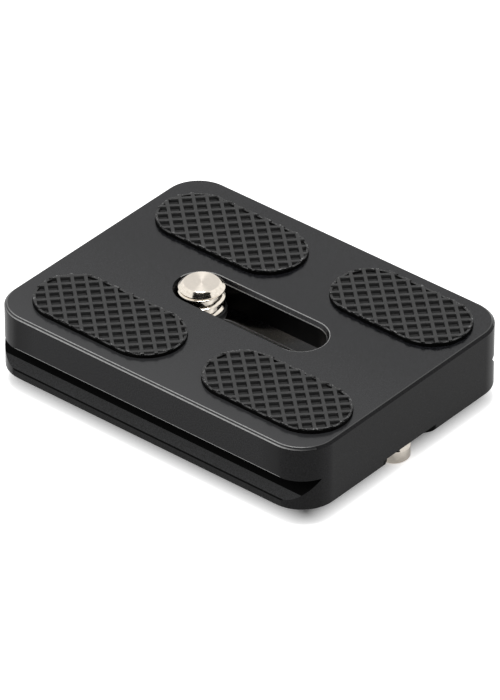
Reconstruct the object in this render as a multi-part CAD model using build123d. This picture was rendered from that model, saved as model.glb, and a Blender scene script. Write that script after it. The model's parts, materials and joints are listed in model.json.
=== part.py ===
from build123d import *
import math
import os

# Tripod quick release plate: an aluminium dovetail plate with rubber grip pads, stop pins
# and a camera screw that slides along a slot.
# Millimetres. +X runs along the dovetail, +Z is up, and the origin is the middle of the
# plate at the level of the table that the stop pins stand on.

# Plate
PLATE_LENGTH = 50.0
DECK_WIDTH = 38.4
FLANGE_WIDTH = 38.3
PLATE_HEIGHT = 8.85
CORNER_RADIUS = 4.8
DECK_SIDE = 4.68
FLANGE_EDGE = 1.06
DOVETAIL_ANGLE = 45.0
GROOVE_NECK = 0.1
TOP_CHAMFER = 0.35
BOTTOM_CHAMFER = 0.1
EDGE_BREAK = 0.12

# Camera slot through the deck, and the screw pocket under it
SLOT_TRAVEL = 15.5
SLOT_MIDDLE = 0.25
SLOT_CHAMFER_WIDTH = 0.33
SLOT_CHAMFER_DEPTH = 0.58
WEB_THICKNESS = 3.6
POCKET_CHAMFER = 0.3

# Channel along the underside, with a rounded mouth at each end
CHANNEL_WIDTH = 5.0
CHANNEL_DEPTH = 0.75
CHANNEL_MOUTH_RADIUS = 2.75

# Grip pads, cut from one waffle sheet and laid by hand: each has its own length, and its own
# margins from the plate's end and side
PAD_WIDTH = 10.0
PAD_SEAT_DEPTH = 0.9
PAD_STAND = 0.6
PAD_LENGTHS = {
    "pad_front_left": 21.4,
    "pad_front_right": 20.4,
    "pad_rear_left": 21.4,
    "pad_rear_right": 19.4,
}
PAD_MARGINS = {
    "pad_front_left": (2.4, 2.35),
    "pad_front_right": (1.1, 3.0),
    "pad_rear_left": (2.2, 3.1),
    "pad_rear_right": (1.5, 2.2),
}

# Waffle of ridges in two directions, counted from the ridge crossing nearest each pad's middle
WAFFLE_PITCH = 1.66
WAFFLE_CROSS_PITCH = 1.545
WAFFLE_RIDGE = 0.42
WAFFLE_DEPTH = 0.45
WAFFLE_WALL_ANGLE = 25.0
WAFFLE_TURN = 47.0
WAFFLE_CROSSINGS = {
    "pad_front_left": (-0.2, -0.59),
    "pad_front_right": (0.31, -0.71),
    "pad_rear_left": (-0.33, 0.51),
    "pad_rear_right": (0.04, -0.71),
}

# Stop pins
PIN_SPACING = 45.2
PIN_DIAMETER = 4.0
PIN_DROP = 2.25
PIN_CHAMFER = 0.3
PIN_SHOULDER = 1.85
PIN_NECK_DIAMETER = 3.3
PIN_SOCKET_WIDTH = 2.0
PIN_SOCKET_DEPTH = 1.2
PIN_SHANK_DIAMETER = 2.5
PIN_SHANK_LENGTH = 4.2
PIN_SHANK_CHAMFER = 0.3
PIN_HOLE_SPARE = 0.4

# Camera screw
SCREW_OFFSET = -7.5
THREAD_DIAMETER = 6.1
TIP_DIAMETER = 4.64
TIP_CHAMFER_HEIGHT = 0.5
TIP_STAND = 0.92
NECK_DIAMETER = 4.3
HEAD_DIAMETER = 12.0
HEAD_HEIGHT = 2.5
HEAD_CHAMFER = 0.25
HEAD_SOCKET_WIDTH = 4.0
HEAD_SOCKET_DEPTH = 2.0
COIN_SLOT_WIDTH = 1.6
COIN_SLOT_DEPTH = 1.2

# Washer on the screw's head, and rubber ring round its neck
WASHER_DIAMETER = 10.8
WASHER_THICKNESS = 0.6
RING_HEIGHT = 0.95

# Clearances
SCREW_SLOT_CLEARANCE = 0.15
HEAD_POCKET_CLEARANCE = 0.5
RING_CLEARANCE = 0.05
WASHER_CLEARANCE = 0.2
PIN_HOLE_CLEARANCE = 0.05
PAD_SEAT_CLEARANCE = 0.05
SEAT_GAP = 0.05

# Heights of the plate's levels
PLATE_BOTTOM = PIN_DROP
DECK_TOP = PLATE_BOTTOM + PLATE_HEIGHT
DECK_LOW = DECK_TOP - DECK_SIDE
FLANGE_TOP = PLATE_BOTTOM + FLANGE_EDGE
WEB_BOTTOM = DECK_TOP - WEB_THICKNESS
CHANNEL_TOP = PLATE_BOTTOM + CHANNEL_DEPTH
PAD_SEAT = DECK_TOP - PAD_SEAT_DEPTH
PAD_TOP = DECK_TOP + PAD_STAND

# Widths that follow the screw
SLOT_WIDTH = THREAD_DIAMETER + 2 * SCREW_SLOT_CLEARANCE
POCKET_WIDTH = HEAD_DIAMETER + 2 * HEAD_POCKET_CLEARANCE

# Height of the screw's tip, its head standing on the table
SCREW_TIP = DECK_TOP + TIP_STAND

# The ring lies low in the slot, and the thread's end rests on it
RING_BOTTOM = WEB_BOTTOM + SEAT_GAP
THREAD_BOTTOM = RING_BOTTOM + RING_HEIGHT + SEAT_GAP

SCREW_AXIS = Pos(SCREW_OFFSET, 0, 0)
SLOT_PLACE = Pos(SLOT_MIDDLE, 0, 0)


def level(height):
    """Sketch plane at a height, facing up."""
    return Plane.XY.offset(height)


def turned(*outline):
    """Solid of revolution about Z from (radius, height) points."""
    return revolve(Plane.XZ * Polygon(*outline, align=None), Axis.Z)


def dovetail_bar():
    """Bar with the plate's cross-section: a deck, a V groove down each side and a flange."""
    deck = DECK_WIDTH / 2
    flange = FLANGE_WIDTH / 2
    slope_top = DECK_LOW - GROOVE_NECK
    groove = flange - (slope_top - FLANGE_TOP) / math.tan(math.radians(DOVETAIL_ANGLE))
    right = [
        (flange, PLATE_BOTTOM),
        (flange, FLANGE_TOP),
        (groove, slope_top),
        (groove, DECK_LOW),
        (deck, DECK_LOW),
        (deck, DECK_TOP),
    ]
    left = [(-y, z) for y, z in reversed(right)]
    section = Plane.YZ * Polygon(*right, *left, align=None)
    lips = [v for v in section.vertices() if PLATE_BOTTOM < v.Z < DECK_TOP and abs(v.Y) > (groove + flange) / 2]
    section = chamfer(lips, EDGE_BREAK)
    return extrude(section, PLATE_LENGTH / 2, both=True)


def plate_blank():
    """Dovetail bar cut to length with rounded corners, its top and bottom edges chamfered."""
    plan = level(PLATE_BOTTOM) * RectangleRounded(PLATE_LENGTH, DECK_WIDTH, CORNER_RADIUS)
    outline = extrude(plan, PLATE_HEIGHT)
    outline = chamfer(outline.faces().sort_by(Axis.Z)[-1].edges(), TOP_CHAMFER)
    outline = chamfer(outline.faces().sort_by(Axis.Z)[0].edges(), BOTTOM_CHAMFER)
    return dovetail_bar() & outline


def camera_slot():
    """Cutter for the slot, with its chamfer at the deck."""
    outline = SLOT_PLACE * SlotCenterToCenter(SLOT_TRAVEL, SLOT_WIDTH)
    slope = math.degrees(math.atan2(SLOT_CHAMFER_WIDTH, SLOT_CHAMFER_DEPTH))
    shaft = extrude(level(PLATE_BOTTOM) * outline, PLATE_HEIGHT)
    return shaft + extrude(level(DECK_TOP - SLOT_CHAMFER_DEPTH) * outline, SLOT_CHAMFER_DEPTH, taper=-slope)


def screw_pocket():
    """Cutter for the pocket that the screw's head slides in, with its chamfer underneath."""
    outline = SLOT_PLACE * SlotCenterToCenter(SLOT_TRAVEL, POCKET_WIDTH)
    hollow = extrude(level(PLATE_BOTTOM) * outline, WEB_BOTTOM - PLATE_BOTTOM)
    rim = level(PLATE_BOTTOM + POCKET_CHAMFER) * outline
    return hollow + extrude(rim, -POCKET_CHAMFER, taper=-45)


def pad_outline(name, room=0):
    """Plan of a grip pad about its own middle, with room added all round."""
    return SlotCenterToCenter(PAD_LENGTHS[name] - PAD_WIDTH, PAD_WIDTH + 2 * room)


def pad_place(name):
    """Middle of a grip pad in plan, from its margins."""
    end, side = PAD_MARGINS[name]
    x = (PLATE_LENGTH - PAD_LENGTHS[name]) / 2 - end
    y = (DECK_WIDTH - PAD_WIDTH) / 2 - side
    return Pos(-x if "left" in name else x, -y if "front" in name else y, 0)


def pad_seat(name):
    """Cutter for the shallow seat that a grip pad is stuck in."""
    return pad_place(name) * extrude(level(PAD_SEAT) * pad_outline(name, PAD_SEAT_CLEARANCE), PAD_SEAT_DEPTH)


def pin_places():
    """Axes of the stop pins, by name."""
    return {"stop_pin_left": Pos(-PIN_SPACING / 2, 0, 0), "stop_pin_right": Pos(PIN_SPACING / 2, 0, 0)}


def plate_body():
    """Machined plate: slot, screw pocket, end channels, pad seats and stop pin holes."""
    plate = plate_blank()
    channel = level(PLATE_BOTTOM) * Rectangle(PLATE_LENGTH, CHANNEL_WIDTH)
    plate -= extrude(channel, CHANNEL_DEPTH)
    mouths = [
        e
        for e in plate.edges().filter_by(Axis.Z)
        if abs(abs(e.center().X) - PLATE_LENGTH / 2) < SEAT_GAP and e.center().Z < CHANNEL_TOP
    ]
    plate = fillet(mouths, CHANNEL_MOUTH_RADIUS)
    plate -= screw_pocket()
    plate -= camera_slot()
    plate -= [pad_seat(name) for name in PAD_MARGINS]
    hole_radius = PIN_SHANK_DIAMETER / 2 + PIN_HOLE_CLEARANCE
    hole = extrude(level(CHANNEL_TOP) * Circle(hole_radius), PIN_SHANK_LENGTH + PIN_HOLE_SPARE)
    plate -= [place * hole for place in pin_places().values()]
    return plate


def waffle_pit():
    """Cutter for one pit at the pads' top, its walls sloping in to a flat floor."""
    mouth = WAFFLE_PITCH - WAFFLE_RIDGE
    cross_mouth = WAFFLE_CROSS_PITCH - WAFFLE_RIDGE
    slope = WAFFLE_DEPTH * math.tan(math.radians(WAFFLE_WALL_ANGLE))
    pit = Wedge(mouth, WAFFLE_DEPTH, cross_mouth, slope, slope, mouth - slope, cross_mouth - slope)
    return Pos(0, 0, PAD_TOP - WAFFLE_DEPTH / 2) * Rot(-90, 0, 0) * pit


def grip_pad(name):
    """Rubber pad with a diagonal waffle of sunk pits, cut through at the pad's edge."""
    pad = extrude(level(PAD_SEAT) * pad_outline(name), PAD_TOP - PAD_SEAT)
    first, cross_first = WAFFLE_CROSSINGS[name]
    straight = (PAD_LENGTHS[name] - PAD_WIDTH) / 2
    reach = PAD_WIDTH / 2 + (WAFFLE_PITCH - WAFFLE_RIDGE) / 4
    count = math.ceil(PAD_LENGTHS[name] / WAFFLE_CROSS_PITCH)
    pit = Rot(0, 0, WAFFLE_TURN) * waffle_pit()
    pits = []
    for column in range(-count, count):
        for row in range(-count, count):
            along = first + (column + 0.5) * WAFFLE_PITCH
            across = cross_first + (row + 0.5) * WAFFLE_CROSS_PITCH
            middle = Vector(along, across).rotate(Axis.Z, WAFFLE_TURN)
            if math.hypot(max(abs(middle.X) - straight, 0), middle.Y) < reach:
                pits.append(Pos(middle) * pit)
    return pad_place(name) * (pad - pits)


def stop_pin():
    """Socket-head stop screw, head down, with a neck above its shoulder and its shank up in the plate."""
    head = PIN_DIAMETER / 2
    neck = PIN_NECK_DIAMETER / 2
    shank = PIN_SHANK_DIAMETER / 2
    shank_top = CHANNEL_TOP + PIN_SHANK_LENGTH
    pin = turned(
        (0, 0),
        (head - PIN_CHAMFER, 0),
        (head, PIN_CHAMFER),
        (head, PIN_SHOULDER),
        (neck, PIN_SHOULDER + head - neck),
        (neck, CHANNEL_TOP),
        (shank, CHANNEL_TOP),
        (shank, shank_top - PIN_SHANK_CHAMFER),
        (shank - PIN_SHANK_CHAMFER, shank_top),
        (0, shank_top),
    )
    socket = RegularPolygon(PIN_SOCKET_WIDTH / 2, 6, major_radius=False)
    return pin - extrude(socket, PIN_SOCKET_DEPTH)


def camera_screw():
    """Turned camera screw: thread, neck and a round head with a coin slot and a hex socket underneath."""
    head = HEAD_DIAMETER / 2
    screw = turned(
        (0, 0),
        (head - HEAD_CHAMFER, 0),
        (head, HEAD_CHAMFER),
        (head, HEAD_HEIGHT - HEAD_CHAMFER),
        (head - HEAD_CHAMFER, HEAD_HEIGHT),
        (NECK_DIAMETER / 2, HEAD_HEIGHT),
        (NECK_DIAMETER / 2, THREAD_BOTTOM),
        (THREAD_DIAMETER / 2, THREAD_BOTTOM),
        (THREAD_DIAMETER / 2, SCREW_TIP - TIP_CHAMFER_HEIGHT),
        (TIP_DIAMETER / 2, SCREW_TIP),
        (0, SCREW_TIP),
    )
    screw -= extrude(Rectangle(HEAD_DIAMETER, COIN_SLOT_WIDTH), COIN_SLOT_DEPTH)
    socket = RegularPolygon(HEAD_SOCKET_WIDTH / 2, 6, major_radius=False)
    screw -= extrude(socket, HEAD_SOCKET_DEPTH)
    return SCREW_AXIS * screw


def screw_washer():
    """Flat washer lying on the screw's head."""
    bore = THREAD_DIAMETER / 2 + WASHER_CLEARANCE
    blank = Circle(WASHER_DIAMETER / 2) - Circle(bore)
    return SCREW_AXIS * extrude(level(HEAD_HEIGHT) * blank, WASHER_THICKNESS)


def retaining_ring():
    """Rubber ring round the screw's neck, in the bottom of the slot."""
    section = Circle(SLOT_WIDTH / 2 - RING_CLEARANCE) - Circle(NECK_DIAMETER / 2 + RING_CLEARANCE)
    return SCREW_AXIS * extrude(level(RING_BOTTOM) * section, RING_HEIGHT)


def nodes():
    """Every piece of the plate, by name."""
    pieces = {
        "plate_body": plate_body(),
        "camera_screw": camera_screw(),
        "screw_washer": screw_washer(),
        "retaining_ring": retaining_ring(),
    }
    pieces.update({name: grip_pad(name) for name in PAD_MARGINS})
    pin = stop_pin()
    pieces.update({name: place * pin for name, place in pin_places().items()})
    return pieces


os.makedirs("parts", exist_ok=True)
for name, piece in nodes().items():
    export_step(piece, f"parts/{name}.step")
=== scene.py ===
"""Looks of a tripod quick release plate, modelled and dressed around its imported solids.

Pieces are shaped in millimetres, as a maker would read them off a drawing, and are
brought to metres when they are settled on the body that carries them.
"""

import json
import logging
import math
from contextlib import contextmanager
from dataclasses import dataclass, field
from enum import Enum
from functools import cached_property
from typing import Callable, Iterator, Protocol, Sequence

import bmesh
import bpy
from mathutils import Matrix, Vector

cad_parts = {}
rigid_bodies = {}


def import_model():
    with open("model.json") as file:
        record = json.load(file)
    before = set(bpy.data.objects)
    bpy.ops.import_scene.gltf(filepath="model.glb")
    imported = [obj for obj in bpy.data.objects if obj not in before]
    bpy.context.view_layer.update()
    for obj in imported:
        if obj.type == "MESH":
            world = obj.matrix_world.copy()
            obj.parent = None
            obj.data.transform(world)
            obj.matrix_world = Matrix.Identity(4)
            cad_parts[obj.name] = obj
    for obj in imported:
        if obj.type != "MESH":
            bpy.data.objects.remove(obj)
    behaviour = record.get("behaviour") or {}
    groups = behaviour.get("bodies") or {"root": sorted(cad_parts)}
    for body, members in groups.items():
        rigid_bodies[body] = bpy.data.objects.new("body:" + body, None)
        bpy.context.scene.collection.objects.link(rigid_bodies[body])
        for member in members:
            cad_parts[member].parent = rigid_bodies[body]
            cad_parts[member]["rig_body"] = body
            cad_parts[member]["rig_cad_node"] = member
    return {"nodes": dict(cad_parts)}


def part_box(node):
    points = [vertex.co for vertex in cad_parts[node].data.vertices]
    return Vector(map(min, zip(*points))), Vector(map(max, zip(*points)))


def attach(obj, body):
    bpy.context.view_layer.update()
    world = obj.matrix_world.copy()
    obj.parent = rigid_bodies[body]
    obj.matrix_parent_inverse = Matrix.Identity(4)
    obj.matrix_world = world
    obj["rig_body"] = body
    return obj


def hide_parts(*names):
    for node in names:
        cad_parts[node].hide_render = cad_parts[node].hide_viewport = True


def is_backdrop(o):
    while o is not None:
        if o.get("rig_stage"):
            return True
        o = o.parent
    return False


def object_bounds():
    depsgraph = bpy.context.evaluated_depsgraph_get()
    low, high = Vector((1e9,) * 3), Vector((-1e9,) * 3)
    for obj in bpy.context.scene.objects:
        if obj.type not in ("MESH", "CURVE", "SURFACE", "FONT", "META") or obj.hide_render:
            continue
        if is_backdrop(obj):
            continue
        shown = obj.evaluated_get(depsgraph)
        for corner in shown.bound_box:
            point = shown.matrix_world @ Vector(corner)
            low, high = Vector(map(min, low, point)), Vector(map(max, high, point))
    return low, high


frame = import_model()

log = logging.getLogger("quick_release_plate")

MM = 0.001
WHITE = (1.0, 1.0, 1.0, 1.0)

# Millimetres that a cutter runs past its piece, and reaches within which points are merged
SPARE = 1.0
DOUBLES = 1e-4
CUTTER_DOUBLES = 1e-3

# Facets across a broken edge, round a turned piece and round a hexagon
EDGE_FACETS = 2
TURNED_FACETS = 96
HEXAGON = 6

# Weight that keeps large faces flat, and the place of a second finish in a piece's list
FLAT_FIRST = 100
SECOND_FINISH = 1

# Noise: the stretch of its values that is used, its octaves, and its spots in millimetres
NOISE_SPAN = (0.3, 0.7)
FINE_DETAIL = 3.0
CLOUD_DETAIL = 2.0
GLINT_CRUMB_DETAIL = 1.0
CLOUD_SIZE = 5.0
BLOOM_SIZE = 1.2
HAZE_SIZE = 0.5

# Crumbs, pale flecks that are partly painted glints, are sparse because most of this range lies below zero
GLINT_CRUMB_RANGE = (-2.0, 1.0)

# Quarter turn that lays a highlight across turned rings
ACROSS_RINGS = 0.25

Point = tuple[float, float]
Place = tuple[float, float, float]
Colour = tuple[float, float, float]
Piece = bpy.types.Object
Face = bmesh.types.BMFace
Edge = bmesh.types.BMEdge
Socket = bpy.types.NodeSocket
Owner = bpy.types.Material | bpy.types.World


class Body(Enum):
    """Bodies that pieces ride on."""

    PLATE = "plate"
    SLIDER = "slider"
    LIFTER = "lifter"
    SCREW = "screw"


class Slot(Enum):
    """Material slots of the record."""

    PLATE = "anodised_plate"
    PAD = "pad_rubber"
    SCREW = "screw_steel"
    WASHER = "washer_nylon"
    RING = "ring_rubber"
    PIN = "pin_steel"


class PlateFace(Enum):
    """Finishes on the plate, by their place in its list of materials."""

    DECK = 0
    WORN = 1
    RECESS = 2
    SIDE = 3
    END = 4
    SLOPE = 5


class Way(Enum):
    """Ways in which painted light or shade shifts a finish's tone over the plate, by the axis that it
    follows.
    """

    ENDS = "X"
    FRONT = "Y"


class Cut(Enum):
    """Ways of working one solid with another."""

    AWAY = "DIFFERENCE"
    WITHIN = "INTERSECT"
    JOINED = "UNION"


# Bench tools


def rest_all() -> None:
    """Leaves edit mode and deselects every object."""
    if bpy.context.object and bpy.context.object.mode != "OBJECT":
        bpy.ops.object.mode_set(mode="OBJECT")
    bpy.ops.object.select_all(action="DESELECT")


def take_up(piece: Piece) -> None:
    """Makes one piece the only selected and active object.

    Args:
        piece: Piece to work on next.
    """
    rest_all()
    piece.select_set(True)
    bpy.context.view_layer.objects.active = piece


@contextmanager
def at_the_bench(piece: Piece) -> Iterator[None]:
    """Holds a piece in edit mode with nothing selected.

    Args:
        piece: Mesh to work on.

    Yields:
        Nothing, while the piece is in edit mode.
    """
    take_up(piece)
    bpy.ops.object.mode_set(mode="EDIT")
    bpy.ops.mesh.select_mode(type="FACE")
    bpy.ops.mesh.select_all(action="DESELECT")
    yield
    bpy.ops.object.mode_set(mode="OBJECT")


def pick_faces(piece: Piece, test: Callable[[Face], bool]) -> None:
    """Selects the faces that pass a test, in edit mode.

    Args:
        piece: Mesh in edit mode.
        test: Tells the faces to select.
    """
    bpy.ops.mesh.select_mode(type="FACE")
    bpy.ops.mesh.select_all(action="DESELECT")
    work = bmesh.from_edit_mesh(piece.data)
    for face in work.faces:
        face.select_set(test(face))
    bmesh.update_edit_mesh(piece.data)


def pick_edges(piece: Piece, test: Callable[[Edge], bool]) -> None:
    """Selects the edges that pass a test, in edit mode.

    Args:
        piece: Mesh in edit mode.
        test: Tells the edges to select.
    """
    bpy.ops.mesh.select_mode(type="EDGE")
    bpy.ops.mesh.select_all(action="DESELECT")
    work = bmesh.from_edit_mesh(piece.data)
    for edge in work.edges:
        edge.select_set(test(edge))
    bmesh.update_edit_mesh(piece.data)


def apply_modifiers(piece: Piece) -> None:
    """Applies all the modifiers of a piece in order.

    Args:
        piece: Piece that has them.
    """
    take_up(piece)
    for modifier in list(piece.modifiers):
        bpy.ops.object.modifier_apply(modifier=modifier.name)


def apply_place(piece: Piece) -> None:
    """Moves a piece's place, turn and scale into its mesh."""
    take_up(piece)
    bpy.ops.object.transform_apply(location=True, rotation=True, scale=True)


def work_with(piece: Piece, tool: Piece, cut: Cut) -> None:
    """Cuts a piece with another or joins them, and uses the other up.

    Args:
        piece: Piece that stays.
        tool: Closed mesh that cuts it, that it is trimmed to or that is added to it.
        cut: Whether the tool is taken away, kept within or joined on.
    """
    modifier = piece.modifiers.new("cut", "BOOLEAN")
    modifier.operation = cut.value
    modifier.solver = "EXACT"
    modifier.object = tool
    apply_modifiers(piece)
    bpy.data.objects.remove(tool, do_unlink=True)


def soften(piece: Piece, width: float, angle: float) -> None:
    """Breaks the sharp edges of a piece.

    Args:
        piece: Piece to soften.
        width: Width of the break in millimetres.
        angle: Smallest angle between faces that counts as sharp, in degrees.
    """
    modifier = piece.modifiers.new("soften", "BEVEL")
    modifier.width = width
    modifier.segments = EDGE_FACETS
    modifier.limit_method = "ANGLE"
    modifier.angle_limit = math.radians(angle)
    modifier.use_clamp_overlap = False
    apply_modifiers(piece)


def clean_up(piece: Piece, reach: float = DOUBLES) -> None:
    """Merges doubled points and turns the faces outwards.

    Args:
        piece: Closed mesh.
        reach: Distance in millimetres within which points are one.
    """
    with at_the_bench(piece):
        bpy.ops.mesh.select_all(action="SELECT")
        bpy.ops.mesh.remove_doubles(threshold=reach)
        bpy.ops.mesh.normals_make_consistent(inside=False)


def shade(piece: Piece, angle: float = 30.0) -> None:
    """Shades a piece smooth, with its edges sharp above an angle in degrees."""
    take_up(piece)
    bpy.ops.object.shade_smooth_by_angle(angle=math.radians(angle))


def weigh_normals(piece: Piece) -> None:
    """Keeps large flat faces flat where they run into rounded edges.

    Args:
        piece: Piece that is shaded already.
    """
    modifier = piece.modifiers.new("weigh", "WEIGHTED_NORMAL")
    modifier.keep_sharp = True
    modifier.weight = FLAT_FIRST
    apply_modifiers(piece)


def dress(piece: Piece, *materials: bpy.types.Material) -> None:
    """Gives a piece its list of materials, in place of any that it had.

    Args:
        piece: Piece to dress.
        materials: Materials in their order.
    """
    piece.data.materials.clear()
    for material in materials:
        piece.data.materials.append(material)


def dress_faces(piece: Piece, place: int, test: Callable[[Face], bool]) -> None:
    """Gives some faces one of a piece's finishes, in edit mode.

    Args:
        piece: Piece that has its list of materials.
        place: Place of the finish in that list.
        test: Tells the faces that get it.
    """
    pick_faces(piece, test)
    piece.active_material_index = place
    bpy.ops.object.material_slot_assign()


def settle(piece: Piece, name: str, body: Body, slot: Slot, *nodes: str) -> Piece:
    """Brings a finished piece to metres and seats it on its body.

    Args:
        piece: Piece modelled in millimetres in the part's own frame.
        name: Name that the piece is kept under.
        body: Body that it rides on.
        slot: Material slot that its finish belongs to; not used.
        nodes: Solids that it stands for.

    Returns:
        The same piece.
    """
    piece.data.transform(Matrix.Scale(MM, 4))
    piece.name = name
    piece.data.name = name
    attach(piece, body.value)
    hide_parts(*nodes)
    return piece


def node_box(node: str) -> tuple[Vector, Vector]:
    """Lowest and highest corners of a solid, in millimetres."""
    low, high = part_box(node)
    return low / MM, high / MM


def node_axis(node: str) -> Vector:
    """Foot of a solid's upright middle line, in millimetres."""
    low, high = node_box(node)
    return Vector(((low.x + high.x) / 2, (low.y + high.y) / 2, low.z))


def lathe(outline: Sequence[Point], facets: int = TURNED_FACETS) -> Piece:
    """Turns a closed piece about Z by drawing a disc up through an outline.

    Args:
        outline: (radius, height) points from the bottom to the top.
        facets: Facets round the piece.

    Returns:
        The turned piece, on the Z axis.
    """
    rest_all()
    radius, height = outline[0]
    foot = (0, 0, height)
    bpy.ops.mesh.primitive_circle_add(vertices=facets, radius=radius, fill_type="NGON", location=foot)
    piece = bpy.context.object
    apply_place(piece)
    with at_the_bench(piece):
        bpy.ops.mesh.select_all(action="SELECT")
        for next_radius, next_height in outline[1:]:
            rise = {"value": (0, 0, next_height - height)}
            bpy.ops.mesh.extrude_region_move(TRANSFORM_OT_translate=rise)
            share = next_radius / radius
            bpy.ops.transform.resize(value=(share, share, 1), center_override=(0, 0, next_height))
            radius, height = next_radius, next_height
    clean_up(piece)
    return piece


def hex_bar(across: float, top: float) -> Piece:
    """Upright hexagonal bar on the Z axis, which starts just below the ground.

    Args:
        across: Width across flats.
        top: Height of its upper end.

    Returns:
        The bar.
    """
    rest_all()
    radius = across / 2 / math.cos(math.pi / HEXAGON)
    middle = (0, 0, (top - SPARE) / 2)
    bpy.ops.mesh.primitive_cylinder_add(
        vertices=HEXAGON, radius=radius, depth=top + SPARE, location=middle
    )
    bar = bpy.context.object
    apply_place(bar)
    return bar


def block(low: Sequence[float], high: Sequence[float]) -> Piece:
    """Makes a box between two corners.

    Args:
        low: Lowest corner.
        high: Highest corner.

    Returns:
        The box.
    """
    rest_all()
    bpy.ops.mesh.primitive_cube_add(size=1)
    box = bpy.context.object
    box.location = [(a + b) / 2 for a, b in zip(low, high)]
    box.scale = [b - a for a, b in zip(low, high)]
    apply_place(box)
    return box


# Finishes


class Graph:
    """Node tree of a material or of the world, with short calls to grow it."""

    def __init__(self, owner: Owner) -> None:
        """Empties the owner's tree and starts it with its output.

        Args:
            owner: Material or world that the tree belongs to.
        """
        owner.use_nodes = True
        self.owner = owner
        self.tree = owner.node_tree
        self.tree.nodes.clear()
        kind = "World" if isinstance(owner, bpy.types.World) else "Material"
        self.output = self.node(f"ShaderNodeOutput{kind}")

    @classmethod
    def named(cls, name: str) -> "Graph":
        """Starts the tree of a new material under a name."""
        return cls(bpy.data.materials.new(name))

    @cached_property
    def place(self) -> Socket:
        """Place on the piece, in its object coordinates."""
        return self.node("ShaderNodeTexCoord").outputs["Object"]

    def feed(self, socket: Socket, value: object) -> None:
        """Gives an input an output to follow, or a value of its own.

        Args:
            socket: Input of a node.
            value: Output, number or colour.
        """
        if isinstance(value, Socket):
            self.tree.links.new(value, socket)
        else:
            socket.default_value = value

    def node(self, kind: str, **values: object) -> bpy.types.Node:
        """Adds a node and sets its properties and inputs.

        Args:
            kind: Node type.
            values: Properties by name, or inputs by name with spaces as underscores.

        Returns:
            The node.
        """
        made = self.tree.nodes.new(kind)
        for key, value in values.items():
            if hasattr(made, key):
                setattr(made, key, value)
            else:
                self.feed(made.inputs[key.replace("_", " ")], value)
        return made

    def joined(self, kind: str, *values: object, **settings: object) -> Socket:
        """Adds a node and feeds its inputs in their order.

        Args:
            kind: Node type.
            values: Outputs, numbers or colours for its inputs.
            settings: Properties by name.

        Returns:
            The node's first output.
        """
        made = self.node(kind, **settings)
        for socket, value in zip(made.inputs, values):
            self.feed(socket, value)
        return made.outputs[0]

    def show(self, shader: Socket) -> None:
        """Ends the tree in a shader."""
        self.feed(self.output.inputs["Surface"], shader)

    def grain(self, size: float, detail: float = FINE_DETAIL) -> Socket:
        """Makes noise with spots of about a given size.

        Args:
            size: Size of the spots in millimetres.
            detail: Octaves of finer noise.

        Returns:
            The noise value, about 0.5 on average.
        """
        scale = 1 / (size * MM)
        noise = self.node("ShaderNodeTexNoise", Vector=self.place, Scale=scale, Detail=detail)
        return noise.outputs["Fac"]

    def axis(self, name: str) -> Socket:
        """One coordinate of the place on the piece, by its letter."""
        return self.node("ShaderNodeSeparateXYZ", Vector=self.place).outputs[name]

    def ramp(self, amount: Socket, start: float, end: float) -> Socket:
        """Rises from 0 to 1 between two distances.

        Args:
            amount: Distance in metres.
            start: Distance in millimetres where the rise starts.
            end: Distance in millimetres where it ends.

        Returns:
            The share, held between 0 and 1.
        """
        span = {"From_Min": start * MM, "From_Max": end * MM}
        return self.node("ShaderNodeMapRange", Value=amount, **span).outputs["Result"]

    def between(self, amount: Socket, low: float, high: float) -> Socket:
        """Maps the middle stretch of a noise to a range.

        Args:
            amount: Noise value.
            low: Result at the noise's low side.
            high: Result at its high side.

        Returns:
            The mapped value.
        """
        start, end = NOISE_SPAN
        span = {"From_Min": start, "From_Max": end, "To_Min": low, "To_Max": high}
        return self.node("ShaderNodeMapRange", Value=amount, **span).outputs["Result"]

    def sum(self, operation: str, first: object, second: object = 0.0) -> Socket:
        """Works out one step of arithmetic.

        Args:
            operation: Name of the operation.
            first: First number or output.
            second: Second number or output.

        Returns:
            The result.
        """
        return self.joined("ShaderNodeMath", first, second, operation=operation)

    def blend(self, amount: Socket, under: Socket, over: Colour) -> Socket:
        """Lays a colour over another by a share.

        Args:
            amount: Share of the upper colour.
            under: Lower colour.
            over: Upper colour.

        Returns:
            The blended colour.
        """
        mix = self.node("ShaderNodeMix", data_type="RGBA")
        below, above = [socket for socket in mix.inputs if socket.type == "RGBA"]
        self.feed(mix.inputs[0], amount)
        self.feed(below, under)
        self.feed(above, (*over, 1))
        return next(socket for socket in mix.outputs if socket.type == "RGBA")

    def tint(self, amount: Socket, low: Colour, high: Colour) -> Socket:
        """Blends two colours by a noise.

        Args:
            amount: Noise value.
            low: Colour at the noise's low side.
            high: Colour at its high side.

        Returns:
            The blended colour.
        """
        ramp = self.node("ShaderNodeValToRGB", Fac=amount)
        for stop, place, colour in zip(ramp.color_ramp.elements, NOISE_SPAN, (low, high)):
            stop.position = place
            stop.color = (*colour, 1)
        return ramp.outputs["Color"]

    def relief(self, amount: Socket, depth: float, below: Socket | None = None) -> Socket:
        """Turns a noise into fine relief.

        Args:
            amount: Height between 0 and 1.
            depth: Height of the relief in millimetres.
            below: Normal of a coarser relief under it.

        Returns:
            The normal.
        """
        bump = self.node("ShaderNodeBump", Strength=1.0, Distance=depth * MM, Height=amount)
        if below is not None:
            self.feed(bump.inputs["Normal"], below)
        return bump.outputs["Normal"]

    def surface(self, **sockets: object) -> Owner:
        """Ends the tree in one principled shader.

        Args:
            sockets: Shader inputs by name with spaces as underscores, as values or as outputs.

        Returns:
            The finished material.
        """
        self.show(self.node("ShaderNodeBsdfPrincipled", **sockets).outputs["BSDF"])
        return self.owner


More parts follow.
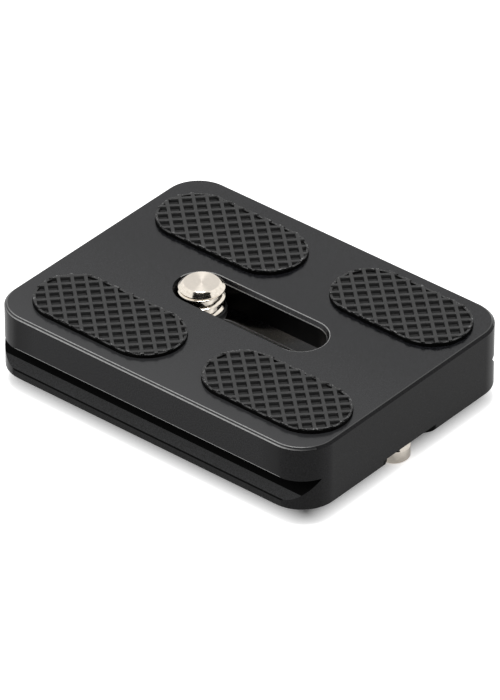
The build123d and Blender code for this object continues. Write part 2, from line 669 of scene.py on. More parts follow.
@dataclass(frozen=True, kw_only=True)
class AnodisedFinish:
    """Black anodising over a finely blasted face."""

    name: str
    dark: Colour
    pale: Colour
    smooth: float = 0.2
    rough: float = 0.24
    gloss: float = 0.3
    grain_size: float = 0.16
    grain_depth: float = 0.0012

    def material(self) -> bpy.types.Material:
        """Builds the material.

        Returns:
            The material.
        """
        graph = Graph.named(self.name)
        cloud = graph.grain(CLOUD_SIZE, CLOUD_DETAIL)
        blast = graph.grain(self.grain_size)
        return graph.surface(
            Base_Color=self.colour(graph, blast),
            Roughness=graph.between(cloud, self.smooth, self.rough),
            Specular_IOR_Level=self.gloss,
            Normal=graph.relief(blast, self.grain_depth),
        )

    def colour(self, graph: Graph, blast: Socket) -> Socket:
        """Mottles the two tones by the blasted grain."""
        return graph.tint(blast, self.dark, self.pale)


@dataclass(frozen=True, kw_only=True)
class PaintedLightFinish(AnodisedFinish):
    """Anodising whose tone shifts to another towards both ends of the plate or towards its front, as
    painted light or shade.
    """

    painted_tone: Colour
    painted_start: float
    painted_end: float
    way: Way = Way.ENDS

    def colour(self, graph: Graph, blast: Socket) -> Socket:
        """Lays the painted light or shade tone over the mottled ones, more so further out.

        Args:
            graph: Tree that the steps are added to.
            blast: Noise of the blasted grain.

        Returns:
            The colour.
        """
        place = graph.axis(self.way.value)
        towards_ends = self.way is Way.ENDS
        out = graph.sum("ABSOLUTE", place) if towards_ends else graph.sum("MULTIPLY", place, -1.0)
        share = graph.ramp(out, self.painted_start, self.painted_end)
        return graph.blend(share, super().colour(graph, blast), self.painted_tone)


@dataclass(frozen=True)
class RubberFinish:
    """Moulded rubber or nylon with a dusty bloom."""

    name: str
    dark: Colour
    pale: Colour
    smooth: float
    rough: float
    gloss: float
    pore_size: float
    pore_depth: float

    def material(self) -> bpy.types.Material:
        """Builds the material.

        Returns:
            The material.
        """
        graph = Graph.named(self.name)
        bloom = graph.grain(BLOOM_SIZE)
        pores = graph.grain(self.pore_size)
        return graph.surface(
            Base_Color=graph.tint(bloom, self.dark, self.pale),
            Roughness=graph.between(bloom, self.smooth, self.rough),
            Specular_IOR_Level=self.gloss,
            Normal=graph.relief(pores, self.pore_depth),
        )


@dataclass(frozen=True)
class CutRubberFinish:
    """Sheet rubber whose die-cut rim is rough and flecked with pale crumbs, which also stand in as painted
    glints of its jagged edge.
    """

    sheet: RubberFinish
    glint_crumb: Colour
    glint_crumb_size: float
    glint_crumb_depth: float
    rim: float
    rim_drop: float
    pit_dullness: float

    def material(self, low: Vector, high: Vector) -> bpy.types.Material:
        """Builds the material for one round-ended pad.

        Args:
            low: Lowest corner of the pad in millimetres.
            high: Highest corner of the pad in millimetres.

        Returns:
            The material, with its rim along the pad's outline.
        """
        sheet = self.sheet
        graph = Graph.named(sheet.name)
        bloom = graph.grain(BLOOM_SIZE)
        pores = graph.grain(sheet.pore_size)
        glint_flecks = graph.between(graph.grain(self.glint_crumb_size, GLINT_CRUMB_DETAIL), *GLINT_CRUMB_RANGE)
        top = graph.ramp(graph.axis("Z"), high.z - self.rim_drop, high.z - self.rim_drop / 2)
        # Pale flecks near the rim's top, partly crumbs and partly painted glints.
        glint_crumbs = graph.sum("MULTIPLY", glint_flecks, self._nearness(graph, low, high))
        glint_crumbs = graph.sum("MAXIMUM", graph.sum("MULTIPLY", glint_crumbs, top), 0.0)
        dull = graph.sum("MULTIPLY", graph.sum("SUBTRACT", 1.0, top), self.pit_dullness)
        return graph.surface(
            Base_Color=graph.blend(glint_crumbs, graph.tint(bloom, sheet.dark, sheet.pale), self.glint_crumb),
            Roughness=graph.sum("ADD", graph.between(bloom, sheet.smooth, sheet.rough), dull),
            Specular_IOR_Level=sheet.gloss,
            Normal=graph.relief(glint_crumbs, self.glint_crumb_depth, graph.relief(pores, sheet.pore_depth)),
        )

    def _nearness(self, graph: Graph, low: Vector, high: Vector) -> Socket:
        """Rises from 0 inside the pad to 1 at its cut edge.

        Args:
            graph: Tree that the steps are added to.
            low: Lowest corner of the pad in millimetres.
            high: Highest corner of the pad in millimetres.

        Returns:
            The nearness to the edge.
        """
        middle = (low + high) / 2 * MM
        radius = (high.y - low.y) / 2
        straight = (high.x - low.x) / 2 - radius
        along = graph.sum("ABSOLUTE", graph.sum("SUBTRACT", graph.axis("X"), middle.x))
        along = graph.sum("MAXIMUM", graph.sum("SUBTRACT", along, straight * MM), 0.0)
        across = graph.sum("SUBTRACT", graph.axis("Y"), middle.y)
        squares = [graph.sum("POWER", graph.sum("ABSOLUTE", side), 2.0) for side in (along, across)]
        out = graph.sum("SQRT", graph.sum("ADD", *squares))
        return graph.ramp(out, radius - self.rim, radius - self.rim / 3)


@dataclass(frozen=True)
class TurnedSteelFinish:
    """Bright steel from a lathe, with fine rings round its axis."""

    name: str
    dark: Colour
    pale: Colour
    smooth: float
    rough: float
    rings: float

    def material(self) -> bpy.types.Material:
        """Builds the material.

        Returns:
            The material.
        """
        graph = Graph.named(self.name)
        haze = graph.grain(HAZE_SIZE)
        ring = graph.node("ShaderNodeTangent", direction_type="RADIAL", axis="Z")
        return graph.surface(
            Base_Color=graph.tint(haze, self.dark, self.pale),
            Metallic=1.0,
            Roughness=graph.between(haze, self.smooth, self.rough),
            Anisotropic=self.rings,
            Anisotropic_Rotation=ACROSS_RINGS,
            Tangent=ring.outputs["Tangent"],
        )


# Deck: its tone grows paler towards the front, a painted sheen of the light that falls there.
DECK_FACE = PaintedLightFinish(
    name="black_anodising_painted_sheen",
    dark=(0.0, 0.0, 0.0),
    pale=(0.0155, 0.016, 0.0185),
    painted_tone=(0.034, 0.0345, 0.036),
    painted_start=-3.0,
    painted_end=26.0,
    way=Way.FRONT,
)
# Sides: their tone darkens towards the corners, painted shade that blends into the ends.
SIDE_FACE = PaintedLightFinish(
    name="anodised_sides_painted_shade",
    dark=(0.008, 0.008, 0.0085),
    pale=(0.028, 0.028, 0.0295),
    smooth=0.19,
    rough=0.23,
    gloss=0.125,
    painted_tone=(0.009, 0.009, 0.0094),
    painted_start=17.5,
    painted_end=20.2,
)
# Ends, corners and end chamfers: a darker copy of the sides' tone, painted shade.
END_FACE = AnodisedFinish(
    name="anodised_ends_painted_shade",
    dark=(0.003, 0.003, 0.0032),
    pale=(0.014, 0.014, 0.0147),
    smooth=0.19,
    rough=0.23,
    gloss=0.125,
)
SLOPE_FACE = AnodisedFinish(
    name="anodised_slopes",
    dark=(0.0, 0.0, 0.0),
    pale=(0.024, 0.0245, 0.0265),
    grain_size=0.2,
)
# Broken edges: pale as wear and as a painted highlight, which fades out towards the ends of the plate.
WORN_EDGE_AND_HIGHLIGHT = PaintedLightFinish(
    name="worn_edges_painted_highlight",
    dark=(0.24, 0.24, 0.24),
    pale=(0.36, 0.36, 0.355),
    smooth=0.25,
    rough=0.32,
    gloss=0.6,
    grain_size=0.25,
    grain_depth=0.001,
    painted_tone=(0.03, 0.03, 0.03),
    painted_start=20.0,
    painted_end=24.0,
)
# Recesses, slot walls and the inner part of the dovetail's slopes: near black with little gloss, painted
# shade where little light reaches.
PAINTED_RECESS_SHADE = AnodisedFinish(
    name="recess_painted_shade",
    dark=(0.001, 0.001, 0.001),
    pale=(0.002, 0.002, 0.002),
    smooth=0.4,
    rough=0.5,
    gloss=0.03,
    grain_size=0.3,
    grain_depth=0.002,
)
PLATE_FINISHES: dict[PlateFace, AnodisedFinish] = {
    PlateFace.DECK: DECK_FACE,
    PlateFace.WORN: WORN_EDGE_AND_HIGHLIGHT,
    PlateFace.RECESS: PAINTED_RECESS_SHADE,
    PlateFace.SIDE: SIDE_FACE,
    PlateFace.END: END_FACE,
    PlateFace.SLOPE: SLOPE_FACE,
}
PAD_RUBBER = CutRubberFinish(
    sheet=RubberFinish(
        name="waffle_rubber",
        dark=(0.004, 0.004, 0.004),
        pale=(0.008, 0.008, 0.008),
        smooth=0.34,
        rough=0.42,
        gloss=0.46,
        pore_size=0.12,
        pore_depth=0.004,
    ),
    glint_crumb=(0.2, 0.2, 0.2),
    glint_crumb_size=0.2,
    glint_crumb_depth=0.02,
    rim=0.45,
    rim_drop=0.2,
    pit_dullness=0.28,
)
# The pads' cut walls: matte cut rubber, darkened further as painted shade.
CUT_RUBBER_SHADED = RubberFinish(
    name="cut_rubber_painted_shade",
    dark=(0.001, 0.001, 0.001),
    pale=(0.003, 0.003, 0.003),
    smooth=0.5,
    rough=0.6,
    gloss=0.06,
    pore_size=0.15,
    pore_depth=0.006,
)
RING_RUBBER = RubberFinish(
    name="ring_rubber",
    dark=(0.008, 0.008, 0.008),
    pale=(0.014, 0.014, 0.014),
    smooth=0.4,
    rough=0.5,
    gloss=0.4,
    pore_size=0.2,
    pore_depth=0.003,
)
WASHER_NYLON = RubberFinish(
    name="black_nylon",
    dark=(0.012, 0.012, 0.013),
    pale=(0.020, 0.020, 0.021),
    smooth=0.3,
    rough=0.38,
    gloss=0.5,
    pore_size=0.3,
    pore_depth=0.003,
)
SCREW_STEEL = TurnedSteelFinish(
    name="turned_steel",
    dark=(0.80, 0.73, 0.63),
    pale=(0.95, 0.88, 0.78),
    smooth=0.1,
    rough=0.15,
    rings=0.3,
)
# The faced tip: rougher, and a darker copy of the turned steel's tone, painted shade that sets it off from
# the chamfer.
TIP_STEEL_SHADED = TurnedSteelFinish(
    name="faced_steel_painted_shade",
    dark=(0.69, 0.635, 0.565),
    pale=(0.73, 0.67, 0.595),
    smooth=0.33,
    rough=0.36,
    rings=0.8,
)
PIN_STEEL = TurnedSteelFinish(
    name="pin_steel",
    dark=(0.62, 0.565, 0.50),
    pale=(0.72, 0.665, 0.59),
    smooth=0.1,
    rough=0.16,
    rings=0.6,
)


# The plate and its pieces


class Maker(Protocol):
    """Anything that builds one piece."""

    def build(self) -> Piece:
        """Builds the piece and settles it on its body."""


@dataclass
class PlateSkin:
    """Machined plate with its sharp edges broken by a hair and made pale, as wear and as a painted
    highlight.
    """

    node: str = "plate_body"

    # Edges: width of the break, angles in degrees that are sharp, flat and smooth, and a seam's width
    edge_break: float = 0.07
    sharp: float = 20.0
    flat: float = 0.6
    smooth_below: float = 25.0
    seam: float = 0.002

    # Sizes of the plate, and half lengths and widths of the rooms round its openings
    corner_radius: float = 4.8
    top_chamfer: float = 0.35
    rim_line: Point = (0.19, 0.31)
    deck_side: float = 4.68
    edge_chamfer: float = 0.12
    slope_shown: float = 1.08
    slot_room: Point = (11.6, 3.8)
    slot_chamfer: float = 0.58
    pocket_room: Point = (14.8, 7.0)
    web: float = 3.6
    channel_depth: float = 0.75
    mouth_room: Point = (3.0, 5.4)
    near: float = 0.02
    skin: float = 0.2

    # Shares of a unit normal that tell how faces lie
    rim_tilt: Point = (0.5, 0.9)
    rim_side: float = 0.35
    slope_tilt: float = 0.5
    lip_tilt: Point = (0.2, 0.5)
    chamfer_tilt: float = 0.3
    end_facing: float = 0.5
    side_facing: float = 0.99

    def build(self) -> Piece:
        """Copies the plate's solid, joins its facets and breaks its edges.

        Returns:
            The settled plate.
        """
        piece = frame["nodes"][self.node].copy()
        piece.data = piece.data.copy()
        piece.parent = None
        # The copy is a piece of its own, so it drops the marks of the solid
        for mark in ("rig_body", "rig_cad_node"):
            if mark in piece:
                del piece[mark]
        bpy.context.scene.collection.objects.link(piece)
        piece.data.transform(Matrix.Scale(1 / MM, 4))
        self._join_facets(piece)
        dress(piece, *(PLATE_FINISHES[kind].material() for kind in PlateFace))
        low, high = node_box(self.node)
        with at_the_bench(piece):
            self._split_slopes(piece, high)
            self._split_rim(piece, high)
            for kind in PlateFace:
                dress_faces(piece, kind.value, lambda face: self._kind(face, low, high) is kind)
            pick_edges(piece, lambda edge: self._is_worn_or_highlit(edge, high))
            bpy.ops.mesh.bevel(
                offset=self.edge_break,
                segments=EDGE_FACETS,
                affect="EDGES",
                clamp_overlap=False,
                material=PlateFace.WORN.value,
            )
        shade(piece, self.smooth_below)
        weigh_normals(piece)
        return settle(piece, "plate", Body.PLATE, Slot.PLATE, self.node)

    def _join_facets(self, piece: Piece) -> None:
        """Merges the loose triangles and dissolves flat seams.

        Args:
            piece: The plate, in object mode.
        """
        with at_the_bench(piece):
            bpy.ops.mesh.select_all(action="SELECT")
            bpy.ops.mesh.remove_doubles(threshold=self.seam)
            bpy.ops.mesh.customdata_custom_splitnormals_clear()
            bpy.ops.mesh.dissolve_limited(angle_limit=math.radians(self.flat))

    def _split_slopes(self, piece: Piece, high: Vector) -> None:
        """Parts the dovetail's slopes into their open outer strip and their inside, which gets painted
        shade.

        Args:
            piece: The plate, in edit mode.
            high: Highest corner of the plate.
        """
        for side in (-1, 1):
            pick_faces(piece, lambda face: self._is_slope(face, high) and face.normal.y * side > 0)
            line = side * (high.y - self.slope_shown)
            bpy.ops.mesh.bisect(plane_co=(0, line, 0), plane_no=(0, 1, 0))

    def _split_rim(self, piece: Piece, high: Vector) -> None:
        """Parts the rim's chamfer along the sides, so that one line of it can be made pale, as wear and as
        a painted highlight.

        Args:
            piece: The plate, in edit mode.
            high: Highest corner of the plate.
        """
        for drop in self.rim_line:
            pick_faces(piece, lambda face: self._is_side_rim(face, high))
            bpy.ops.mesh.bisect(plane_co=(0, 0, high.z - drop), plane_no=(0, 0, 1))

    def _is_side_rim(self, face: Face, high: Vector) -> bool:
        """Tells the chamfer of the deck's rim along the sides from other faces.

        Args:
            face: Face of the plate.
            high: Highest corner of the plate.

        Returns:
            Whether the face is on that chamfer.
        """
        at = face.calc_center_median()
        flattest, steepest = self.rim_tilt
        sloped = flattest < face.normal.z < steepest and abs(face.normal.y) > self.rim_side
        on_rim = at.z > high.z - self.top_chamfer and self._inset(at, high) < self.top_chamfer
        return sloped and on_rim

    def _is_slope(self, face: Face, high: Vector) -> bool:
        """Tells the dovetail's slopes, which clamps grip, from other faces.

        Args:
            face: Face of the plate.
            high: Highest corner of the plate.

        Returns:
            Whether the face is on a slope.
        """
        at = face.calc_center_median()
        sloped = abs(face.normal.y) > self.slope_tilt and face.normal.z > self.slope_tilt
        return sloped and at.z < high.z - self.deck_side

    def _kind(self, face: Face, low: Vector, high: Vector) -> PlateFace:
        """Sorts a face by its place on the plate.

        Args:
            face: Face of the plate.
            low: Lowest corner of the plate.
            high: Highest corner of the plate.

        Returns:
            The finish that it has.
        """
        at = face.calc_center_median()
        drop = high.z - at.z
        if self._is_side_rim(face, high):
            start, end = self.rim_line
            below = PlateFace.WORN if drop < end else PlateFace.END
            return PlateFace.DECK if drop < start else below
        if face.normal.z > self.chamfer_tilt and at.z > high.z - self.slot_chamfer:
            at_an_end = abs(face.normal.x) >= self.end_facing
            return PlateFace.END if at_an_end else PlateFace.DECK
        if self._is_slope(face, high):
            # The outer strip keeps the slope's own finish; the rest of the slope gets painted shade.
            open_strip = abs(at.y) > high.y - self.slope_shown
            return PlateFace.SLOPE if open_strip else PlateFace.RECESS
        flattest, steepest = self.lip_tilt
        if flattest < face.normal.z < steepest and at.z < high.z - self.deck_side:
            return PlateFace.RECESS
        in_pocket = self._within(at, self.pocket_room) and at.z < high.z - self.web - self.near
        if in_pocket and abs(face.normal.z) < self.near:
            return PlateFace.DECK
        in_slot = self._within(at, self.slot_room) and at.z > high.z - self.web + self.near
        in_seat = at.z > high.z - self.deck_side and not in_slot and at.z > high.z - self.web
        groove_top = high.z - self.deck_side + self.near
        in_groove = abs(at.y) > high.y / 2 and low.z + self.near < at.z <= groove_top
        sunk = self._inset(at, high) >= self.skin and (in_seat or in_groove)
        if in_slot or sunk or self._in_mouth(face, low, high):
            return PlateFace.RECESS
        long_side = abs(face.normal.y) > self.side_facing and at.z > high.z - self.deck_side
        return PlateFace.SIDE if long_side else PlateFace.END

    def _within(self, point: Vector, room: Point) -> bool:
        """Tells whether a point lies in a room about the plate's middle, seen from above."""
        return abs(point.x) < room[0] and abs(point.y) < room[1]

    def _in_mouth(self, face: Face, low: Vector, high: Vector) -> bool:
        """Tells the walls of the channel's rounded mouths from other faces.

        Args:
            face: Face of the plate.
            low: Lowest corner of the plate.
            high: Highest corner of the plate.

        Returns:
            Whether the face is on such a wall.
        """
        at = face.calc_center_median()
        upright = abs(face.normal.z) < self.near
        deep, wide = self.mouth_room
        in_reach = high.x - deep < abs(at.x) < high.x - self.near
        return upright and in_reach and abs(at.y) < wide and at.z < low.z + self.channel_depth

    def _is_worn_or_highlit(self, edge: Edge, high: Vector) -> bool:
        """Tells the edges that hands and clamps rub pale, which also carry a painted highlight: the deck's
        rim and lip, and the slot's rim.

        Args:
            edge: Edge of the plate.
            high: Highest corner of the plate.

        Returns:
            Whether the edge is worn and carries a painted highlight.
        """
        if len(edge.link_faces) != 2 or edge.calc_face_angle(0) < math.radians(self.sharp):
            return False
        heights = [v.co.z for v in edge.verts]
        if abs(heights[0] - heights[1]) > self.near:
            return False
        middle = (edge.verts[0].co + edge.verts[1].co) / 2
        reach, half = self.slot_room
        by_slot = self._within(middle, self.slot_room)
        # Of the slot's rim, only the far side and the end at positive X get the pale line, where the
        # painted highlight falls.
        rubbed_or_lit = by_slot and (middle.y > 0 or middle.x > reach - half)
        levels = [high.z, high.z - self.slot_chamfer] if rubbed_or_lit else []
        if not by_slot and self._inset(middle, high) < self.top_chamfer + self.skin / 2:
            levels.append(high.z)
        if abs(middle.y) > high.y - self.near:
            levels.append(high.z - self.deck_side + self.edge_chamfer)
        return any(abs(heights[0] - level) < self.near for level in levels)

    def _inset(self, point: Vector, high: Vector) -> float:
        """Works out how far a point lies inside the plate's rounded outline.

        Args:
            point: Point of the plate.
            high: Highest corner of the plate.

        Returns:
            The distance in millimetres, seen from above.
        """
        across = abs(point.x) - high.x + self.corner_radius
        along = abs(point.y) - high.y + self.corner_radius
        beyond = math.hypot(max(across, 0), max(along, 0)) + min(max(across, along), 0)
        return self.corner_radius - beyond


@dataclass
class WafflePad:
    """Rubber grip pad, cut from a waffle sheet."""

    node: str

    # Crossing of two ridges nearest the pad's middle, along and across the sheet
    first: float
    cross_first: float

    # Sheet
    pitch: float = 1.66
    cross_pitch: float = 1.545
    ridge: float = 0.42
    depth: float = 0.46
    wall_angle: float = 10.0
    turn: float = 47.0
    softness: float = 0.06
    soft_angle: float = 15.0

    # Outline and cut wall
    rim: float = 0.3
    rim_drop: float = 0.14
    lap: float = 0.04
    cut_band: float = 0.12
    cut_tilt: float = 0.3
    end_facets: int = 28
    smooth_below: float = 35.0

    def build(self) -> Piece:
        """Moulds the sheet and cuts the pad out of it.

        Returns:
            The settled pad.
        """
        low, high = node_box(self.node)
        piece = self._sheet(low, high)
        work_with(piece, self._outline(low, high, self.lap, high.z + self.depth), Cut.WITHIN)
        rim = self._outline(low + Vector((0, 0, self.lap)), high, 0, high.z - self.rim_drop)
        work_with(rim, self._outline(low, high, self.rim, high.z + self.depth), Cut.AWAY)
        work_with(piece, rim, Cut.JOINED)
        clean_up(piece)
        dress(piece, PAD_RUBBER.material(low, high), CUT_RUBBER_SHADED.material())
        with at_the_bench(piece):
            # The cut wall gets the darker rubber, painted shade.
            dress_faces(piece, SECOND_FINISH, lambda face: self._is_cut(face, low, high))
        shade(piece, self.smooth_below)
        name = self.node.replace("pad_", "grip_pad_")
        return settle(piece, name, Body.PLATE, Slot.PAD, self.node)

    def _is_cut(self, face: Face, low: Vector, high: Vector) -> bool:
        """Tells the wall that the die cut from other faces.

        Args:
            face: Face of the pad.
            low: Lowest corner of the pad.
            high: Highest corner of the pad.

        Returns:
            Whether the face is upright and on the pad's outline.
        """
        at = face.calc_center_median() - (low + high) / 2
        radius = (high.y - low.y) / 2
        beyond = max(abs(at.x) - (high.x - low.x) / 2 + radius, 0)
        upright = abs(face.normal.z) < self.cut_tilt
        return upright and math.hypot(beyond, at.y) > radius - self.cut_band

    def _sheet(self, low: Vector, high: Vector) -> Piece:
        """Moulds a waffle sheet large enough for the pad, turned and placed on it.

        Args:
            low: Lowest corner of the pad.
            high: Highest corner of the pad.

        Returns:
            The closed sheet.
        """
        reach = math.hypot(high.x - low.x, high.y - low.y) / 2
        columns = 2 * math.ceil(reach / self.pitch + 1)
        rows = 2 * math.ceil(reach / self.cross_pitch + 1)
        rest_all()
        bpy.ops.mesh.primitive_grid_add(x_subdivisions=columns, y_subdivisions=rows, size=1)
        sheet = bpy.context.object
        sheet.scale = (columns * self.pitch, rows * self.cross_pitch, 1)
        apply_place(sheet)
        slope = self.depth * math.tan(math.radians(self.wall_angle))
        with at_the_bench(sheet):
            bpy.ops.mesh.select_all(action="SELECT")
            bpy.ops.mesh.inset(thickness=self.ridge / 2, use_individual=True)
            bpy.ops.mesh.inset(thickness=slope, depth=-self.depth, use_individual=True)
        soften(sheet, self.softness, self.soft_angle)
        drop = {"value": (0, 0, 2 * (low.z - high.z))}
        with at_the_bench(sheet):
            bpy.ops.mesh.select_mode(type="EDGE")
            bpy.ops.mesh.select_non_manifold(
                use_wire=False, use_multi_face=False, use_non_contiguous=False, use_verts=False
            )
            bpy.ops.mesh.extrude_region_move(TRANSFORM_OT_translate=drop)
            bpy.ops.mesh.edge_face_add()
        clean_up(sheet)
        turned = Matrix.Rotation(math.radians(self.turn), 3, "Z")
        crossing = turned @ Vector((self.first, self.cross_first, 0))
        middle = (low + high) / 2
        sheet.rotation_euler.z = math.radians(self.turn)
        sheet.location = (middle.x + crossing.x, middle.y + crossing.y, high.z)
        apply_place(sheet)
        return sheet

    def _outline(self, low: Vector, high: Vector, inset: float, top: float) -> Piece:
        """Makes a round-ended block on the pad's outline.

        Args:
            low: Lowest corner of the pad.
            high: Highest corner of the pad.
            inset: Distance inside the pad's outline.
            top: Height of the block's top.

        Returns:
            The block.
        """
        edge = Vector((inset, inset, 0))
        block_low = low + edge
        block_high = high - edge
        cutter = block(block_low, (block_high.x, block_high.y, top))
        radius = (block_high.y - block_low.y) / 2
        with at_the_bench(cutter):
            pick_edges(cutter, lambda side: abs(side.verts[0].co.z - side.verts[1].co.z) > self.depth)
            bpy.ops.mesh.bevel(offset=radius, segments=self.end_facets, affect="EDGES")
        clean_up(cutter, CUTTER_DOUBLES)
        return cutter


@dataclass
class CameraScrew:
    """Camera screw: a round head, a plain neck and a short right-hand thread."""

    node: str = "camera_screw"

    # Thread, with the widths of its crest and of the groove's root, and the groove's reach outside it
    pitch: float = 1.27
    crest: float = 0.14
    root: float = 0.75
    flank: float = 30.0
    over: float = 0.05
    thread: float = 5.75
    thread_bottom: float = 8.55
    start_turn: float = 50.6

    # Tip: its rim and the thread's run-out each have a width and a height
    tip: float = 4.6
    tip_rim: Point = (0.1, 0.055)
    tip_chamfer: float = 0.62
    run_out: Point = (0.36, 1.0)
    lap: float = 0.01

    # Neck and head
    neck: float = 4.3
    head_height: float = 2.5
    head_chamfer: float = 0.25
    socket: float = 4.0
    socket_depth: float = 2.0
    coin_slot: float = 1.6
    coin_slot_depth: float = 1.2
    smooth_below: float = 20.0

    def build(self) -> Piece:
        """Turns the blank, cuts the thread, the coin slot and the socket.

        Returns:
            The settled screw.
        """
        low, high = node_box(self.node)
        head = high.x - low.x
        piece = self._blank(head / 2, high.z)
        work_with(piece, self._thread_groove(high.z), Cut.AWAY)
        work_with(piece, self._lead(high.z), Cut.JOINED)
        work_with(piece, hex_bar(self.socket, self.socket_depth), Cut.AWAY)
        half = self.coin_slot / 2
        coin_slot = block((-head, -half, -SPARE), (head, half, self.coin_slot_depth))
        work_with(piece, coin_slot, Cut.AWAY)
        clean_up(piece)
        piece.location = node_axis(self.node)
        apply_place(piece)
        dress(piece, SCREW_STEEL.material(), TIP_STEEL_SHADED.material())
        tip_level = high.z - self.over
        with at_the_bench(piece):
            # The tip's flat face gets the darker steel, painted shade.
            dress_faces(piece, SECOND_FINISH, lambda face: min(v.co.z for v in face.verts) > tip_level)
        shade(piece, self.smooth_below)
        return settle(piece, "camera_screw_turned", Body.SCREW, Slot.SCREW, self.node)

    def _blank(self, head: float, top: float) -> Piece:
        """Turns the screw before its thread is cut.

        Args:
            head: Radius of the head.
            top: Height of the tip.

        Returns:
            The blank on the Z axis.
        """
        rim_width, rim_drop = self.tip_rim
        return lathe([
            (head - self.head_chamfer, 0),
            (head, self.head_chamfer),
            (head, self.head_height - self.head_chamfer),
            (head - self.head_chamfer, self.head_height),
            (self.neck / 2, self.head_height),
            (self.neck / 2, self.thread_bottom),
            (self.thread / 2, self.thread_bottom),
            (self.thread / 2, top - self.tip_chamfer),
            (self.tip / 2, top - rim_drop),
            (self.tip / 2 - rim_width, top),
        ])

    def _lead(self, top: float) -> Piece:
        """Turns the plain core that the thread runs out on, just inside the chamfered tip.

        Args:
            top: Height of the tip.

        Returns:
            The core on the Z axis.
        """
        depth, drop = self.run_out
        rim_width, rim_drop = self.tip_rim
        return lathe([
            (self.thread / 2 - depth, top - self.tip_chamfer - drop),
            (self.thread / 2 - self.lap, top - self.tip_chamfer),
            (self.tip / 2 - self.lap, top - rim_drop),
            (self.tip / 2 - rim_width, top - rim_drop),
        ])

    def _thread_groove(self, top: float) -> Piece:
        """Winds the groove between the threads as a closed coil.

        Args:
            top: Height of the tip.

        Returns:
            The coil, running past both ends of the thread.
        """
        outer = self.thread / 2 + self.over
        spread = math.tan(math.radians(self.flank))
        wide = self.pitch - self.crest + 2 * self.over * spread
        deep = (wide - self.root) / 2 / spread
        rest_all()
        bpy.ops.mesh.primitive_plane_add(size=1, rotation=(math.radians(90), 0, 0))
        groove = bpy.context.object
        turns = math.ceil((top - self.thread_bottom) / self.pitch) + 1
        start = Vector((0, 0, top - turns * self.pitch))
        groove.scale = (deep, wide, 1)
        groove.location = start + Vector((outer - deep / 2, 0, 0))
        apply_place(groove)
        with at_the_bench(groove):
            pick_edges(groove, lambda edge: all(v.co.x < outer - deep / 2 for v in edge.verts))
            narrow = (1, 1, self.root / wide)
            bpy.ops.transform.resize(value=narrow, center_override=start)
            bpy.ops.mesh.select_all(action="SELECT")
            bpy.ops.mesh.delete(type="ONLY_FACE")
        coil = groove.modifiers.new("coil", "SCREW")
        coil.axis = "Z"
        coil.angle = math.radians(360)
        coil.screw_offset = self.pitch
        coil.iterations = turns + 1
        coil.steps = TURNED_FACETS
        coil.render_steps = TURNED_FACETS
        coil.use_merge_vertices = False
        apply_modifiers(groove)
        groove.rotation_euler.z = math.radians(self.start_turn)
        apply_place(groove)
        middle = top - turns * self.pitch / 2
        for below in (True, False):
            with at_the_bench(groove):
                pick_edges(groove, lambda edge: edge.is_boundary and (edge.verts[0].co.z < middle) == below)
                bpy.ops.mesh.edge_face_add()
        clean_up(groove)
        return groove


@dataclass
class StopPin:
    """Socket-head stop screw, head down."""

    node: str
    head: float = 4.0
    chamfer: float = 0.32
    shoulder: float = 1.85
    neck: float = 3.3
    shank: float = 2.5
    shank_bottom: float = 3.0
    shank_chamfer: float = 0.3
    socket: float = 2.0
    socket_depth: float = 1.2
    softness: float = 0.05
    soft_angle: float = 20.0
    facets: int = 64

    def build(self) -> Piece:
        """Turns the pin and sinks its socket.

        Returns:
            The settled pin.
        """
        top = node_box(self.node)[1].z
        head = self.head / 2
        neck = self.neck / 2
        outline = [
            (head - self.chamfer, 0),
            (head, self.chamfer),
            (head, self.shoulder),
            (neck, self.shoulder + head - neck),
            (neck, self.shank_bottom),
            (self.shank / 2, self.shank_bottom),
            (self.shank / 2, top - self.shank_chamfer),
            (self.shank / 2 - self.shank_chamfer, top),
        ]
        piece = lathe(outline, self.facets)
        soften(piece, self.softness, self.soft_angle)
        work_with(piece, hex_bar(self.socket, self.socket_depth), Cut.AWAY)
        clean_up(piece)
        piece.location = node_axis(self.node)
        apply_place(piece)
        dress(piece, PIN_STEEL.material())
        shade(piece)
        return settle(piece, f"{self.node}_turned", Body.PLATE, Slot.PIN, self.node)


@dataclass
class FlatRing:
    """Flat ring round the screw, such as its washer."""

    node: str
    name: str
    body: Body
    slot: Slot
    finish: RubberFinish
    bore: float
    softness: float
    soft_angle: float = 40.0

    def build(self) -> Piece:
        """Turns the ring, bores it and softens its edges.

        Returns:
            The settled ring.
        """
        low, high = node_box(self.node)
        radius = (high.x - low.x) / 2
        bore = self.bore / 2
        piece = lathe([(radius, low.z), (radius, high.z)])
        work_with(piece, lathe([(bore, low.z - SPARE), (bore, high.z + SPARE)]), Cut.AWAY)
        clean_up(piece)
        soften(piece, self.softness, self.soft_angle)
        axis = node_axis(self.node)
        piece.location = (axis.x, axis.y, 0)
        apply_place(piece)
        dress(piece, self.finish.material())
        shade(piece)
        return settle(piece, self.name, self.body, self.slot, self.node)


# Studio


def grey(tone: float) -> tuple[float, float, float, float]:
    """Colour without a hue."""
    return (tone, tone, tone, 1.0)


def hang(item: Piece, target: Vector, direction: Place, distance: float) -> None:
    """Hangs a lamp or a card so that it faces a point.

    Args:
        item: Lamp or card.
        target: Point that it faces, in metres.
        direction: Direction from that point.
        distance: Distance from it in metres.
    """
    away = Vector(direction).normalized()
    item.location = target + away * distance
    item.rotation_euler = away.to_track_quat("Z", "Y").to_euler()


@dataclass
class SoftBox:
    """Rectangular lamp aimed at the middle of the plate."""

    name: str
    direction: Place
    distance: float
    width: float
    height: float
    brightness: float

    def build(self, target: Vector) -> None:
        """Places the lamp.

        Args:
            target: Point that it faces, in metres.
        """
        lamp = bpy.data.lights.new(self.name, "AREA")
        lamp.shape = "RECTANGLE"
        lamp.size = self.width
        lamp.size_y = self.height
        lamp.energy = self.brightness * math.pi * self.width * self.height
        holder = bpy.data.objects.new(self.name, lamp)
        hang(holder, target, self.direction, self.distance)
        holder.visible_camera = False
        bpy.context.scene.collection.objects.link(holder)


